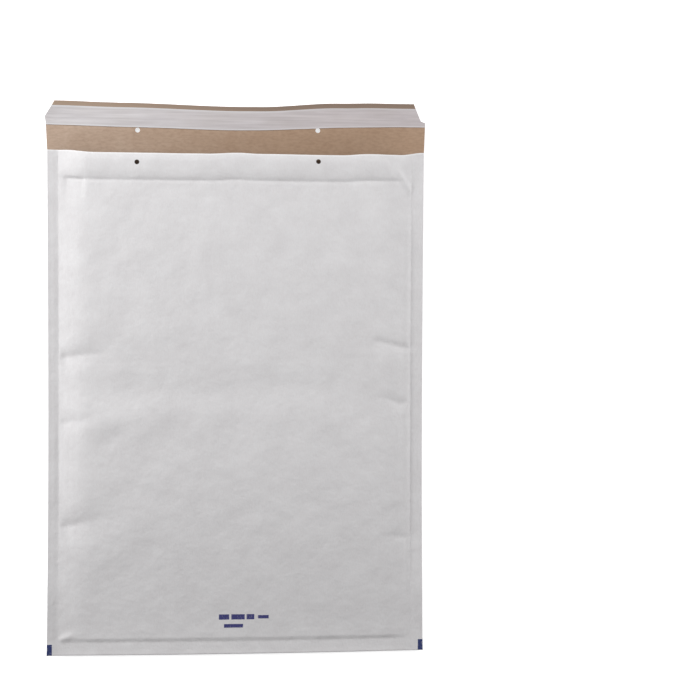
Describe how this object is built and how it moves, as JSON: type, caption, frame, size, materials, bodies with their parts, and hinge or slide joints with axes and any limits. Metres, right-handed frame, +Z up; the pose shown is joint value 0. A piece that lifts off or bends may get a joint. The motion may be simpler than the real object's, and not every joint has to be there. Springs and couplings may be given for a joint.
{
  "type": "padded envelope",
  "caption": "Empty padded mailing envelope, white paper outside and brown inside, with a bubble-film pocket, an open flap with a release liner over its glue, and clasp holes.",
  "frame": {"origin": "on the floor under the middle of the whole envelope with its flap open, on the flat underside of the back panel", "axes": "+Z up out of the front panel, +Y along the length from the bottom fold to the flap, +X to the right seen from above"},
  "size_m": [0.37, 0.5391, 0.0146],
  "materials": {
    "paper": "matt white paper outside, brown kraft inside",
    "film": "clear bubble film",
    "glue": "tacky hot-melt stripe",
    "liner": "siliconed paper, faint satin"
  },
  "bodies": {
    "root": {"paper_cover": "paper", "bubble_lining": "film", "adhesive_strip": "glue", "release_liner": "liner"}
  },
  "joints": []
}
